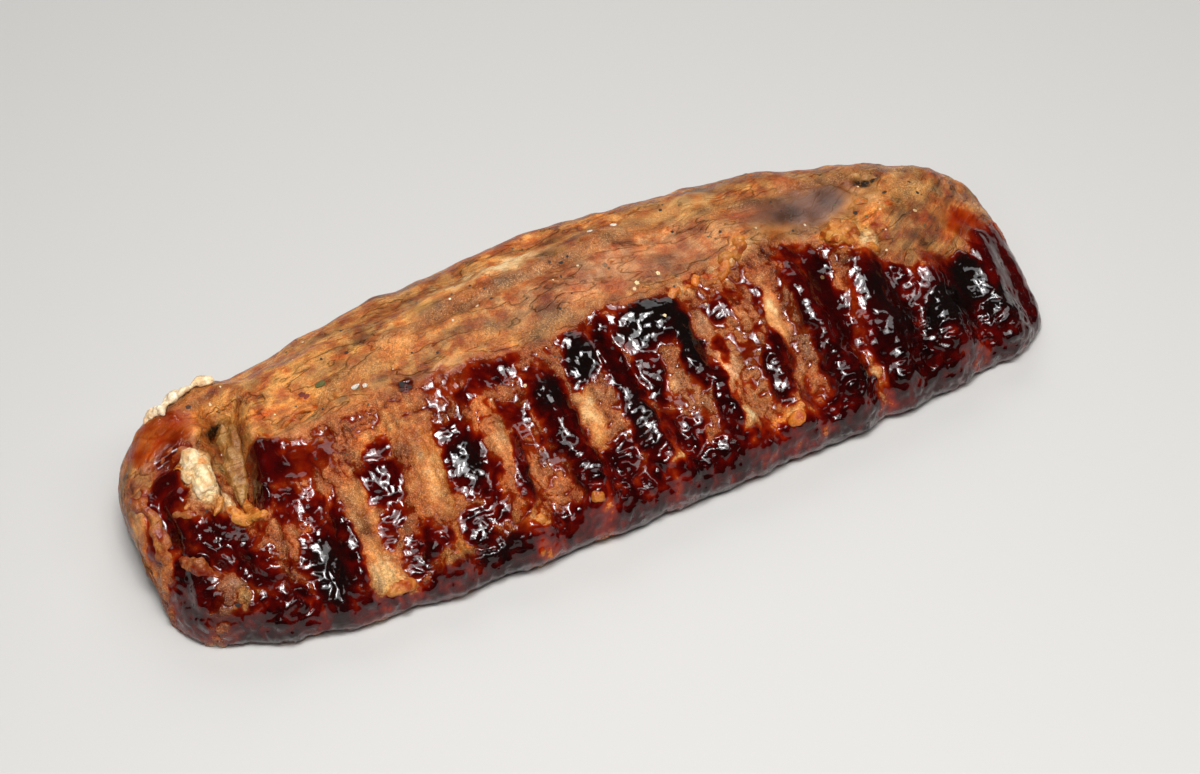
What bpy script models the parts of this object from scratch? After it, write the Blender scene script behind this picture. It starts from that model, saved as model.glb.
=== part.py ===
"""A cooked rack of back ribs lying meat side up: one slab of meat, arched over its bones.

The slab is lofted from rings. Each ring is one slice across the rack, from the thin near edge, over the
ribs and the thick loin, round the far edge, and back under the arch on the bone side.
X runs along the rack, Y from the rib edge to the loin edge, and Z is up. The code works in millimetres,
and the points are turned to metres as they are made.
"""

import math

import bmesh
import bpy
import numpy as np
from mathutils import Vector, noise

MM = 0.001

# The rack as a whole.
LENGTH = 342.0
RIB_EDGE_Y = -62.0
LOIN_EDGE_Y = 62.0
WIDEST_X = 4.0
LOIN_EDGE_CURVE = {"left": 0.0005, "right": 0.0014}
RIB_EDGE_CURVE = {"left": 0.0003, "right": 0.0002}
# How blunt the corners are in plan, and how steep the ends: a larger power is squarer.
END_POWER = {("left", "rib"): 3.8, ("left", "loin"): 6.0, ("right", "rib"): 7.0, ("right", "loin"): 11.0}
END_SLOPE_POWER = {"left": 9.0, "right": 13.0}

# Height of the meat side across the rack (share of the width, height) and its share along the length.
TOP_ACROSS = [(0.0, 18.0), (0.12, 26.0), (0.28, 37.0), (0.45, 45.5), (0.62, 50.5), (0.82, 51.5), (1.0, 43.0)]
TOP_ALONG = [
    (-1.0, 0.72),
    (-0.8, 0.82),
    (-0.5, 0.93),
    (0.0, 1.03),
    (0.4, 1.02),
    (0.7, 0.94),
    (0.88, 0.78),
    (1.0, 0.56),
]
# The bone side arches between two feet, each this share of the width, which the rack's weight presses flat.
ARCH_HEIGHT = 19.0
ARCH_FOOT = 0.1
FOOT_PRESS = 2.6
# The arch is lower by this share at the ends, where it falls with this power.
ARCH_END_SAG = (0.75, 8.0)
# Roundness of the rib edge and of the loin edge: a larger power is a tighter edge.
EDGE_POWER = {"rib": 4.4, "loin": 3.1}
FOOT_EDGE_POWER = 10.0
FOOT_END_POWER = 5.0
# The line where the two sides meet lies halfway up the slab, and sinks towards the ends to this share of it.
SEAM_SINK = 0.45

# The ribs.
RIB_COUNT = 13
RIB_PITCH = 25.5
RIB_SHIFT = [0.0, -1.5, 0.0, 2.0, 2.5, 0.0, -1.5, 0.0, 0.5, 0.0, -1.0, -1.0, 0.0]
RIB_LEAN = [0.22, 0.22, 0.18, 0.08, 0.0, -0.1, -0.22, -0.28, -0.2, -0.1, 0.0, 0.06, 0.08]
RIB_LEAN_PIVOT_Y = -15.0
RIB_HALF_WIDTH = 6.0
RIB_RIDGE_HEIGHT = 5.2
RIB_TROUGH_SHARE = 0.45
RIB_TOP_REACH = (-0.1, -0.02, 0.34, 0.52)
RIB_TIP_PROUD = 2.6
EDGE_WAVE = (17.0, 1.6)
BONE_HALF_WIDTH = 5.5
BONE_RIDGE_HEIGHT = 3.2
BONE_TROUGH_SHARE = 0.4
BONE_REACH = (0.08, 0.2, 0.75, 0.9)

# Swellings (positive) and hollows (negative) of the meat side:
# centre x, centre y, half length, half width, turn in degrees from X, height.
RELIEF = [
    (-45.0, 40.0, 78.0, 4.5, -2.0, -3.6),  # the long crease between the loin's two muscles
    (-55.0, 50.0, 62.0, 7.0, -3.0, 2.2),  # the outer muscle beyond the crease
    (38.0, 33.0, 46.0, 4.0, -12.0, -2.2),  # the crease's right half, running in towards the ribs
    (18.0, 20.0, 70.0, 13.0, -6.0, 2.0),  # the inner muscle
    (102.0, 10.0, 26.0, 12.0, -10.0, -2.0),  # the shallow dish that holds glaze
    (101.0, -9.0, 7.0, 6.0, 0.0, 3.2),  # the round knob of fat
    (68.0, 2.0, 10.0, 6.0, -10.0, 2.6),  # the lump above the rib tops
    (140.0, 12.0, 22.0, 22.0, 0.0, 1.8),  # the right end's crown
    (-131.0, 7.0, 20.0, 4.2, 84.0, -13.0),  # the tear's open split
    (-127.0, 27.0, 7.0, 5.0, -20.0, -7.0),  # the hole at the top of the tear
    (-141.0, 9.0, 17.0, 5.0, 80.0, 4.6),  # the torn meat beside the split
    (-121.0, 8.0, 16.0, 4.0, 80.0, 3.2),  # the strap on the split's other side
    (-108.0, 2.0, 12.0, 9.0, 0.0, -4.2),  # the dip that holds glaze right of the tear
    (-146.0, 43.0, 22.0, 12.0, 12.0, 11.0),  # the hump at the far left corner
    (158.0, 26.0, 14.0, 16.0, 0.0, 4.0),  # the far right corner
    (-140.0, -32.0, 15.0, 13.0, 10.0, 5.0),  # the knuckle at the near left corner
    (-157.0, -12.0, 14.0, 6.0, 70.0, 3.0),  # the ropy edge of the left end
    (-96.0, 22.0, 26.0, 5.0, 16.0, -3.0),  # the crease that runs out of the tear
]
# The relief fades out at the edges across the rack, and at its ends, with these powers.
RELIEF_FADE = (8.0, 30.0)
# Broad unevenness: size of the lumps and their height on the meat side, and their share on the bone side.
LUMPS = [(34.0, 3.0), (13.0, 1.8), (6.5, 0.9)]
BONE_SIDE_LUMPS = 0.5
BONE_SIDE_DEPTH = 90.0

# Mesh resolution.
FINE_UNTIL_X = -120.0
PLAIN_FROM_X = -80.0
STEP_FINE = 2.7
STEP_PLAIN = 3.75
TOP_STEPS = 28
UNDER_STEPS = 20
LAST_RING = 0.997

MEAT_COLOUR = (0.33, 0.13, 0.045, 1.0)
MEAT_ROUGHNESS = 0.35


def through(points, at):
    """A smooth curve through (place, value) points, flat-ended, read at one place."""
    places = [p for p, _ in points]
    values = [v for _, v in points]
    i = min(max(int(np.searchsorted(places, at)) - 1, 0), len(points) - 2)
    slopes = np.gradient(values, places)
    span = places[i + 1] - places[i]
    t = min(max((at - places[i]) / span, 0.0), 1.0)
    rise = values[i + 1] - values[i]
    a = slopes[i] * span - rise
    b = rise - slopes[i + 1] * span
    return values[i] + t * rise + t * (1 - t) * ((1 - t) * a + t * b)


def ramp(low, high, at):
    """0 below low and 1 above high, with a smooth rise between."""
    t = min(max((at - low) / (high - low), 0.0), 1.0)
    return t * t * (3.0 - 2.0 * t)


def window(reach, at):
    """1 between the two inner places of reach, fading to 0 at the outer two."""
    start, full, fading, end = reach
    return ramp(start, full, at) * (1.0 - ramp(fading, end, at))


def rounding(t, power):
    """The height of a superellipse, 1 at t = 0 and 0 at t = 1."""
    return max(1.0 - min(abs(t), 1.0) ** power, 0.0) ** (1.0 / power)


def side_of(x):
    return "left" if x < WIDEST_X else "right"


def edges_at(x):
    """The rib edge's and the loin edge's y at one station, drawn in towards the rack's rounded ends."""
    rib = RIB_EDGE_Y + RIB_EDGE_CURVE[side_of(x)] * (x - WIDEST_X) ** 2
    loin = LOIN_EDGE_Y - LOIN_EDGE_CURVE[side_of(x)] * (x - WIDEST_X) ** 2
    rib -= RIB_TIP_PROUD * (rib_ridge(x, rib, RIB_HALF_WIDTH) - RIB_TROUGH_SHARE)
    size, height = EDGE_WAVE
    rib += height * noise.noise(Vector((x / size, 0.0, 0.0)))
    loin += height * noise.noise(Vector((x / size, 9.0, 0.0)))
    middle, half = (rib + loin) / 2, (loin - rib) / 2
    place = x / (LENGTH / 2)
    return (
        middle - half * rounding(place, END_POWER[side_of(x), "rib"]),
        middle + half * rounding(place, END_POWER[side_of(x), "loin"]),
    )


def rib_ridge(x, y, half_width):
    """1 on the line of a rib and 0 midway to the next. Each rib leans as it nears the rack's edge."""
    best = 0.0
    for number in range(RIB_COUNT):
        line = (number - (RIB_COUNT - 1) / 2) * RIB_PITCH + RIB_SHIFT[number]
        line += RIB_LEAN[number] * (y - RIB_LEAN_PIVOT_Y)
        best = max(best, math.exp(-(((x - line) / half_width) ** 2)))
    return best


def relief_at(x, y):
    """The swellings and hollows of the meat side, added up."""
    total = 0.0
    for cx, cy, half_length, half_width, turn, height in RELIEF:
        c, s = math.cos(math.radians(turn)), math.sin(math.radians(turn))
        along = ((x - cx) * c + (y - cy) * s) / half_length
        across = (-(x - cx) * s + (y - cy) * c) / half_width
        total += height * math.exp(-(along**4) - across**2)
    return total


def lumps_at(x, y, z):
    """Broad unevenness, the same on each run."""
    return sum(height * noise.noise(Vector((x, y, z)) / size) for size, height in LUMPS)


def top_at(x, y, share):
    """Height of the meat side, before its edges are rounded."""
    ridge = rib_ridge(x, y, RIB_HALF_WIDTH) - RIB_TROUGH_SHARE
    height = through(TOP_ACROSS, share) * through(TOP_ALONG, x / (LENGTH / 2))
    height += RIB_RIDGE_HEIGHT * ridge * window(RIB_TOP_REACH, share)
    across, along = RELIEF_FADE
    inside = rounding(2.0 * share - 1.0, across) * rounding(x / (LENGTH / 2), along)
    return height + (relief_at(x, y) + lumps_at(x, y, 0.0)) * inside


def under_at(x, y, share):
    """Height of the bone side: an arch between the two feet, with the bones standing down from it."""
    inward = min(max((share - ARCH_FOOT) / (1.0 - 2.0 * ARCH_FOOT), 0.0), 1.0)
    sag, power = ARCH_END_SAG
    arch = ARCH_HEIGHT * math.sin(math.pi * inward) * (1.0 - sag * abs(x / (LENGTH / 2)) ** power)
    bones = BONE_RIDGE_HEIGHT * (rib_ridge(x, y, BONE_HALF_WIDTH) - BONE_TROUGH_SHARE)
    lumps = BONE_SIDE_LUMPS * lumps_at(x, y, BONE_SIDE_DEPTH)
    return arch + (lumps - bones) * window(BONE_REACH, share) - FOOT_PRESS


def edge_power(share):
    return EDGE_POWER["rib"] + (EDGE_POWER["loin"] - EDGE_POWER["rib"]) * share


def stations():
    """Where the rings lie along the rack, closer together at the torn left end."""
    end = LENGTH / 2 * LAST_RING
    places = [-end]
    while places[-1] < end:
        coarse = ramp(FINE_UNTIL_X, PLAIN_FROM_X, places[-1])
        places.append(places[-1] + STEP_FINE + (STEP_PLAIN - STEP_FINE) * coarse)
    return [-end + (x + end) * 2 * end / (places[-1] + end) for x in places]


def shares(steps):
    """Places across the width from 0 to 1, closer together at both edges."""
    plain = np.linspace(0.0, 1.0, steps + 1)
    return 0.5 * plain + 0.25 * (1.0 - np.cos(math.pi * plain))


def ring_at(x):
    """One slice across the rack, as a loop of points in millimetres."""
    rib, loin = edges_at(x)
    end = rounding(x / (LENGTH / 2), END_SLOPE_POWER[side_of(x)])
    foot_end = rounding(x / (LENGTH / 2), FOOT_END_POWER)
    points = []
    over = [(share, 1.0) for share in shares(TOP_STEPS)]
    back = [(share, -1.0) for share in reversed(shares(UNDER_STEPS)[1:-1])]
    for share, face in over + back:
        y = rib + (loin - rib) * share
        top = top_at(x, y, share)
        under = under_at(x, y, share)
        seam = (top + under) / 2 * (SEAM_SINK + (1.0 - SEAM_SINK) * end)
        half = (top - under) / 2
        if face > 0.0:
            z = seam + half * rounding(2.0 * share - 1.0, edge_power(share)) * end
        else:
            z = seam - half * rounding(2.0 * share - 1.0, FOOT_EDGE_POWER) * foot_end
        points.append(Vector((x, y, max(z, 0.0))))
    return points


def loft(mesh, rings):
    """Skins the rings with quads and closes each end with a fan round its middle."""
    made = [[mesh.verts.new(point * MM) for point in ring] for ring in rings]
    count = len(made[0])
    for near, far in zip(made, made[1:]):
        for i in range(count):
            j = (i + 1) % count
            mesh.faces.new((near[i], near[j], far[j], far[i]))
    for ring, points in ((made[0], rings[0]), (made[-1], rings[-1])):
        middle = mesh.verts.new(sum(points, Vector()) / count * MM)
        for i in range(count):
            mesh.faces.new((ring[i], ring[(i + 1) % count], middle))
    bmesh.ops.recalc_face_normals(mesh, faces=mesh.faces)


def centre_over_origin(mesh):
    """Moves the rack so that its box is centred on the Z axis and stands on z = 0."""
    low = Vector([min(v.co[k] for v in mesh.verts) for k in range(3)])
    high = Vector([max(v.co[k] for v in mesh.verts) for k in range(3)])
    foot = Vector(((low.x + high.x) / 2, (low.y + high.y) / 2, low.z))
    bmesh.ops.translate(mesh, verts=mesh.verts, vec=-foot)


def meat_material():
    material = bpy.data.materials.new("glazed_meat")
    material.use_nodes = True
    shader = material.node_tree.nodes["Principled BSDF"]
    shader.inputs["Base Color"].default_value = MEAT_COLOUR
    shader.inputs["Roughness"].default_value = MEAT_ROUGHNESS
    shader.inputs["Metallic"].default_value = 0.0
    return material


def make_rack():
    mesh = bmesh.new()
    loft(mesh, [ring_at(x) for x in stations()])
    centre_over_origin(mesh)
    data = bpy.data.meshes.new("rib_rack")
    mesh.to_mesh(data)
    mesh.free()
    data.materials.append(meat_material())
    data.shade_smooth()
    rack = bpy.data.objects.new("rib_rack", data)
    bpy.context.scene.collection.objects.link(rack)
    return rack


for leftover in list(bpy.data.objects):
    bpy.data.objects.remove(leftover)
make_rack()
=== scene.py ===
"""A glazed rack of back ribs on a pale floor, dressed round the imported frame.

The rack's one solid is refined and given its relief: muscle fibres along the loin, crusty panels between
the ribs, the torn left end, and the sauce that lies in the hollows. Lengths are in millimetres until they
reach a mesh. X runs along the rack, Y from the rib edge to the loin edge, and Z is up.
"""

import itertools
import math

import bpy
import numpy as np
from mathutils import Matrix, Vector
from mathutils.kdtree import KDTree


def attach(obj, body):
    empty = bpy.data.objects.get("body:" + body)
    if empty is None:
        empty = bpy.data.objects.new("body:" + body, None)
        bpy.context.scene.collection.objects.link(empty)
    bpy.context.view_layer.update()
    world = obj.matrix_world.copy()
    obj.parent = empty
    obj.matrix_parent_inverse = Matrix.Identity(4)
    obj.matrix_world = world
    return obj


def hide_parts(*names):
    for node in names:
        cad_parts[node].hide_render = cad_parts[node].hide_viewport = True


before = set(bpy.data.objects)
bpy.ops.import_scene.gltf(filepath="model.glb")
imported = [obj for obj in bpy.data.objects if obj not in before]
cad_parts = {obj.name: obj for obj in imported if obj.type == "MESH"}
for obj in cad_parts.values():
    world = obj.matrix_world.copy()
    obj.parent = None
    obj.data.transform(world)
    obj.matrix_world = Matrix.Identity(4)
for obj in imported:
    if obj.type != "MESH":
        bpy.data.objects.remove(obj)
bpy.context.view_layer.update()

MM = 0.001
RACK = "rib_rack"

# Where the rib side ends and the smooth loin begins, as (x, y) along the rack.
LOIN_LINE = [(-170, 2), (-120, 9), (-62, 2), (-20, -1), (60, 1), (92, -3), (120, -26), (140, -24), (170, -8)]

# How far the loin's fibres are carried towards the back, as (x, shift in y).
FIBRE_BEND = [(-175, -14), (-140, -4), (-110, 4), (-60, 2), (0, 0), (60, -2), (100, -2), (122, 4), (170, 34)]

# Every table below starts its rows with a patch: centre x, centre y, half length, half width, turn in degrees.

# Sauce lying on the meat, and its depth.
SAUCE = [
    # the torn left end
    (-156, 7, 10, 7, 60, 2.0),
    (-160, -6, 6, 8, 0, 1.7),
    (-146, -18, 11, 8, -50, 2.0),
    (-140, -31, 9, 5, -60, 2.2),
    (-150, 28, 15, 10, 0, 0.45),
    # sauce in the crease under the hump, laid on partly as painted shade
    (-150, 18, 8, 3, 0, 0.9),
    (-138, -45, 18, 6, -12, 1.9),
    (-160, -25, 10, 8, 90, 1.8),
    (-121, 0, 9.5, 7, 85, 2.4),
    (-128, -11, 8, 3, 80, 2.3),
    (-120, -15, 7, 3, 0, 1.6),
    (-112, -5, 12, 7, 0, 0.9),
    (-117, -21, 10, 4, -10, 1.3),
    # the rib side, from left to right
    (-117, -41, 12, 8, 80, 2.6),
    (-108, -38, 14, 3, 85, 2.4),
    (-117, -29, 5, 4, 0, 1.3),
    (-89, -22, 7.5, 6.5, 90, 2.4),
    (-86, -12, 5, 3, 0, 1.2),
    (-92, -36, 8, 3, 60, 1.2),
    (-84, -47, 9, 6, 10, 1.8),
    (-97, -56, 15, 3, -4, 1.6),
    (-67, 4, 4, 3, 0, 0.5),
    (-51, -1, 13, 6, 0, 0.35),
    (-38, -5, 11, 4, 12, 1.6),
    (-47, -9, 7, 3, 10, 1.6),
    (-60, -26, 10.5, 7.5, 90, 2.8),
    (-64, -45, 6.5, 6, 0, 2.1),
    (-56, -42, 10, 4, 75, 1.7),
    (-62, -57, 17, 3.5, 0, 2.0),
    (-38, -22, 6, 5, 0, 1.4),
    (-43, -38, 13, 2.6, 75, 1.8),
    (-24, -27, 15, 6.5, 88, 3.0),
    (-22, -46, 9, 5, 85, 2.2),
    (-35, -57, 11, 4, 0, 1.8),
    (-8, -12, 9.5, 6, 80, 3.0),
    (3, -20, 16, 5.5, 90, 3.0),
    (3, -42, 12, 5, 90, 2.6),
    (-10, -48, 9, 5, 35, 1.9),
    (22, -11, 13, 7.5, -5, 3.2),
    (14, -25, 10, 5, 85, 2.7),
    (31, -24, 13, 4.5, 80, 3.1),
    (34, -42, 13, 3.6, 85, 2.8),
    (15, -46, 9, 6, 0, 1.9),
    (22, -57, 17, 4, 0, 2.5),
    (46, -14, 5, 4, 0, 1.3),
    (41, -27, 5, 3, 90, 1.4),
    (58, -40, 10, 5, 75, 2.1),
    (61, -18, 9, 2.2, 85, 1.4),
    (50, -58, 13, 3, 0, 1.8),
    (78, -28, 19, 4.5, 88, 2.5),
    (86, -24, 19, 5.4, 85, 2.8),
    (81, -47, 11, 8, 90, 2.7),
    (80, -8, 4, 6, 0, 1.5),
    (104, -38, 19, 10, 90, 3.0),
    (114, -27, 6, 4, 80, 1.9),
    (112, -50, 13, 8, 0, 2.8),
    (130, -40, 38, 15, 3, 1.7),
    (129, -41, 15, 7, 18, 3.2),
    (142, -33, 9, 8, 0, 3.4),
    (150, -48, 17, 7, 5, 2.5),
    (159, -27, 12, 11, 80, 1.9),
    (131, -25, 8, 3.5, 0, 0.9),
    (153, -14, 12, 9, 0, 0.35),
    (116, -10, 6, 4, -30, 0.5),
    (162, -42, 10, 8, 60, 2.2),
    # the loin
    (95, 10, 24, 9.5, -4, 0.0),
]

# Meat that the fire blackened, and how strongly; the three rows marked below are near-black painted shade in pits
# and gaps.
CHAR_AND_SHADE = [
    (-117, -41, 9, 5, 80, 0.7),
    (-60, -27, 7, 5, 90, 0.7),
    (-64, -54, 12, 3, 0, 0.5),
    (-24, -20, 7, 4, 90, 0.7),
    (-7, -13, 7, 5, 80, 0.9),
    (3, -38, 9, 4, 90, 0.6),
    (22, -9, 11, 6, 0, 1.0),
    (31, -20, 9, 4, 80, 1.0),
    (106, -32, 10, 7, 90, 0.6),
    (126, -39, 10, 5, 20, 1.0),
    (142, -32, 7, 7, 0, 1.0),
    (150, -42, 8, 4, 10, 0.8),
    (-67, 4, 4, 3, 0, 0.5),
    # painted shade rather than char: near black down the pit and the gap beside the tendon strap, and in a pit on
    # the right of the loin
    (-131, 25, 2.6, 1.4, 60, 0.9),
    (-138, 3, 8, 1.2, 78, 0.7),
    (126, 15, 5, 2.5, 10, 0.8),
]

# Fat and exposed pale meat, and how pale.
FAT = [
    (-145, 4, 11, 5, -75, 1.0),
    (-136, -10, 9, 3.4, -60, 0.8),
    (-12, 34, 11, 5, 0, 0.9),
    (-30, 36, 11, 5, 0, 0.5),
    (-13, -29, 7, 2.2, 88, 0.5),
    (-99, -48, 7, 2.4, 0, 0.3),
    (-74, -30, 11, 4, 80, 0.15),
    (-48, -28, 10, 3, 90, 0.15),
    (64, -25, 10, 2.6, 80, 0.6),
    (62, 1, 5, 3, 0, 0.6),
    (39, -4, 6, 3, 0, 0.6),
    (53, -4, 5, 3, 0, 0.6),
    (17, -32, 3.5, 2.5, 0, 0.6),
    (103, -7, 6, 6, 0, 0.4),
    (110, -13, 5, 3, 40, 0.6),
    (56, -55, 5, 3, 0, 0.6),
    (-126.5, -47, 2.8, 2, 0, 0.8),
    (-46, -55, 4, 2.6, 0, 0.7),
    (-23, -56, 3, 3, 0, 0.8),
    (9, -53, 3, 3, 0, 0.8),
    (38, -51, 3, 3, 0, 0.7),
    (92, -52, 3, 4, 0, 0.6),
    (157, -42, 3, 2, 0, 0.8),
    (-166, 5, 4, 3, 90, 0.5),
    (-155, -4, 2.6, 2, 0, 0.8),
    (122, 3, 5, 4, 0, 0.4),
]

# The meat's colours over the base, laid on in this order: strength, colour. Most are its own; the rows marked below
# also hold painted shade, sheen or reflection.
TONES = [
    # the loin
    (-98, 26, 30, 18, 0, 0.8, "#d6944a"),
    (-70, 20, 20, 6, 10, 0.5, "#b9733c"),
    (-45, 32, 20, 7, 8, 0.7, "#d9a25c"),
    (-30, 12, 34, 9, 0, 0.5, "#b4824e"),
    (0, 14, 16, 6, 5, 0.5, "#c79058"),
    (22, 13, 42, 11, 0, 0.6, "#b57e5c"),
    (-20, 25, 42, 3.4, 1, 0.7, "#94684a"),
    (-28, 28, 11, 2.4, 4, 0.8, "#bd6a1c"),
    (26, 30, 18, 4, 6, 0.6, "#a86a36"),
    (50, 32, 20, 6, 4, 0.6, "#cf9a5a"),
    (74, 16, 13, 5, -25, 0.8, "#b4652c"),
    (62, 27, 16, 6, -12, 0.6, "#cc9c5e"),
    (40, 6, 16, 4, 0, 0.5, "#a5694a"),
    # the pool on the loin: greyish brown, partly the sauce's colour and partly painted reflection
    (97, 11, 25, 10, -4, 0.97, "#694b40"),
    (122, 3, 10, 6, 0, 0.9, "#d08a34"),
    (147, 10, 22, 14, 0, 0.6, "#c08c50"),
    (151, -12, 13, 7, 0, 0.9, "#b8621e"),
    (160, -27, 11, 9, 0, 0.8, "#8a2c14"),
    (130, -12, 12, 7, 0, 0.7, "#a5703c"),
    # the left end
    (-150, 28, 15, 10, 0, 0.9, "#c27a38"),
    # painted shade: a darker pink-brown strip along the foot of the hump
    (-150, 19, 9, 4, 0, 0.7, "#93604f"),
    (-131, 14, 14, 4, 72, 0.8, "#92642c"),
    (-166, -2, 16, 6, 90, 0.8, "#b9742c"),
    (-150, -34, 10, 6, 0, 0.8, "#6e4a3c"),
    (-147, -37, 5, 3, 0, 0.8, "#b48e55"),
    # the rib side
    (-112, -3, 14, 10, 0, 0.8, "#b88c68"),
    (-99, -34, 18, 8, 70, 0.9, "#b07339"),
    (-73, -30, 19, 8, 75, 0.9, "#aa6d2e"),
    (-47, -27, 17, 6, 85, 0.9, "#bf7c42"),
    (-80, -8, 12, 6, 20, 0.7, "#bd803f"),
    (-36, -38, 10, 6, 85, 0.7, "#b07e56"),
    (-13, -31, 11, 3.4, 88, 0.9, "#bb8440"),
    (-6, -36, 10, 4, 85, 0.7, "#ac7a54"),
    # these three, and the grey row below, are partly the panels' own colour and partly painted sheen from their
    # glints
    (22, -38, 10, 7, 90, 0.8, "#b58e74"),
    (48, -32, 18, 7, 88, 0.8, "#b88c66"),
    (40, -30, 13, 3, 88, 0.8, "#d2a27e"),
    (65, -24, 12, 3, 84, 0.8, "#c58843"),
    # partly the meat's own grey-brown, partly painted sheen
    (71, -27, 12, 3, 88, 0.8, "#8a7468"),
    (94, -36, 17, 2.6, 82, 0.9, "#bd7c42"),
    (122, -20, 9, 3, 90, 0.8, "#b57e42"),
    (103, -7, 7, 7, 0, 0.9, "#cf9038"),
    # the tips of the ribs
    (-126, -54, 6, 7, 0, 0.9, "#b98446"),
    (-99, -54, 8, 7, 0, 0.9, "#c8924c"),
    (-76, -55, 7, 7, 0, 0.9, "#cc8a3c"),
    (-46, -56, 6, 7, 0, 0.9, "#d0903a"),
    (-23, -58, 6, 6, 0, 0.9, "#d08c38"),
    (8, -56, 6, 6, 0, 0.9, "#c88534"),
    (38, -56, 6, 7, 0, 0.9, "#c29a6c"),
    (56, -56, 8, 6, 0, 0.9, "#dc9232"),
    (92, -56, 5, 7, 0, 0.9, "#b27040"),
    (131, -51, 8, 3, 0, 0.8, "#b5795a"),
    (157, -42, 4, 3, 0, 0.8, "#c47c30"),
]

# Lumps that stand up from the meat, and creases and holes cut into it: height.
MOUNDS = [
    (-144, 4, 11, 5.5, -75, 2.4),
    (-137.5, 3, 9, 2.2, 78, -3.4),
    (-129, 26, 4, 2, 60, -1.8),
    (-134, 21, 9, 2.2, 38, -2.0),
    (-150, 28, 13, 8, 0, 1.2),
    (-152, 16, 9, 2, 10, -1.4),
    (-121, 0, 10, 7, 85, -0.9),
    (-165, 8, 5, 3.4, 80, 1.6),
    (-167, -3, 5, 3.4, 100, 1.8),
    (-165, -15, 5, 3.6, 70, 1.6),
    (-160, -4, 2, 9, 0, -1.4),
    (-156, 2, 4, 3, 30, 1.2),
    (-158, -26, 5, 3.5, 60, 1.6),
    (-150, -33, 7, 5, 20, 2.4),
    (-144, -38, 4, 3, 30, 1.8),
    (-152, -24, 8, 2, -40, -1.6),
    (-142, -22, 7, 2.4, -45, 1.4),
    (-137, -32, 7, 2.2, -55, 1.2),
    (-131, -22, 6, 2.4, -60, 1.2),
    (-109, 10.5, 14, 2, 6, -2.2),
    (-104, 5, 9, 2.6, 6, 1.0),
    (-92, 12, 10, 1.6, 0, -1.2),
    (-118, -12, 6, 3, 10, 1.0),
    (-66, 13, 9, 1.6, -62, -1.0),
    (-67, 4, 4, 3, 0, -1.4),
    (-20, 23, 40, 2.2, 1, -1.3),
    (-40, 30, 16, 4, 6, 0.9),
    (-8, 33, 14, 4, 2, 0.9),
    (98, 21, 20, 1.8, -4, -1.2),
    (115, 16, 9, 2, -55, -1.2),
    (126, 15, 5, 3, 10, -2.2),
    (103, -7, 6, 5, -30, 2.6),
    (110, -14, 5, 2.4, 40, 1.4),
    (117, -10, 5, 3.5, -30, -1.2),
    (122, 3, 7, 4, 0, 1.0),
    (-62, -24, 9, 8, 90, -1.0),
    (-89, -21, 7, 7, 90, -1.0),
    (-8, -12, 9, 6, 80, -1.0),
    (3, -24, 18, 5, 90, -1.2),
    (-24, -28, 15, 6, 88, -1.0),
    (33, -30, 18, 4, 84, -1.2),
    (85, -26, 20, 5, 86, -1.0),
    (94, -36, 17, 2.6, 82, 1.2),
    (-13, -31, 9, 3.5, 88, 1.2),
    (64, -25, 10, 3, 80, 1.0),
    (40, -32, 14, 3, 88, 0.9),
    (-47, -30, 15, 4, 85, 0.7),
    (-73, -30, 16, 5, 78, 0.7),
    (-99, -34, 16, 5, 72, 0.7),
    (106, -42, 9, 8, 0, 2.2),
    (126, -47, 10, 7, 0, 1.8),
    (150, -47, 8, 6, 0, 1.4),
    (82, -48, 8, 6, 0, 1.4),
    (-116, -48, 8, 6, 0, 1.4),
    (-22, -47, 6, 6, 0, 1.2),
    (5, -47, 6, 6, 0, 1.2),
    (-62, -46, 6, 6, 0, 1.0),
    (-99, -52, 5, 2.5, 0, 1.6),
    (-78, -53, 4.5, 2.5, 0, 1.6),
    (-46, -55, 4.5, 2.5, 0, 1.6),
    (-23, -56, 4.5, 2.5, 0, 1.6),
    (8, -53, 4.5, 2.5, 0, 1.6),
    (38, -52, 4.5, 2.5, 0, 1.6),
    (56, -55, 5.5, 3, 0, 2.0),
    (91, -53, 3.5, 2.5, 0, 1.6),
    (131, -51, 7, 2.5, 0, 1.2),
]

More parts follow.
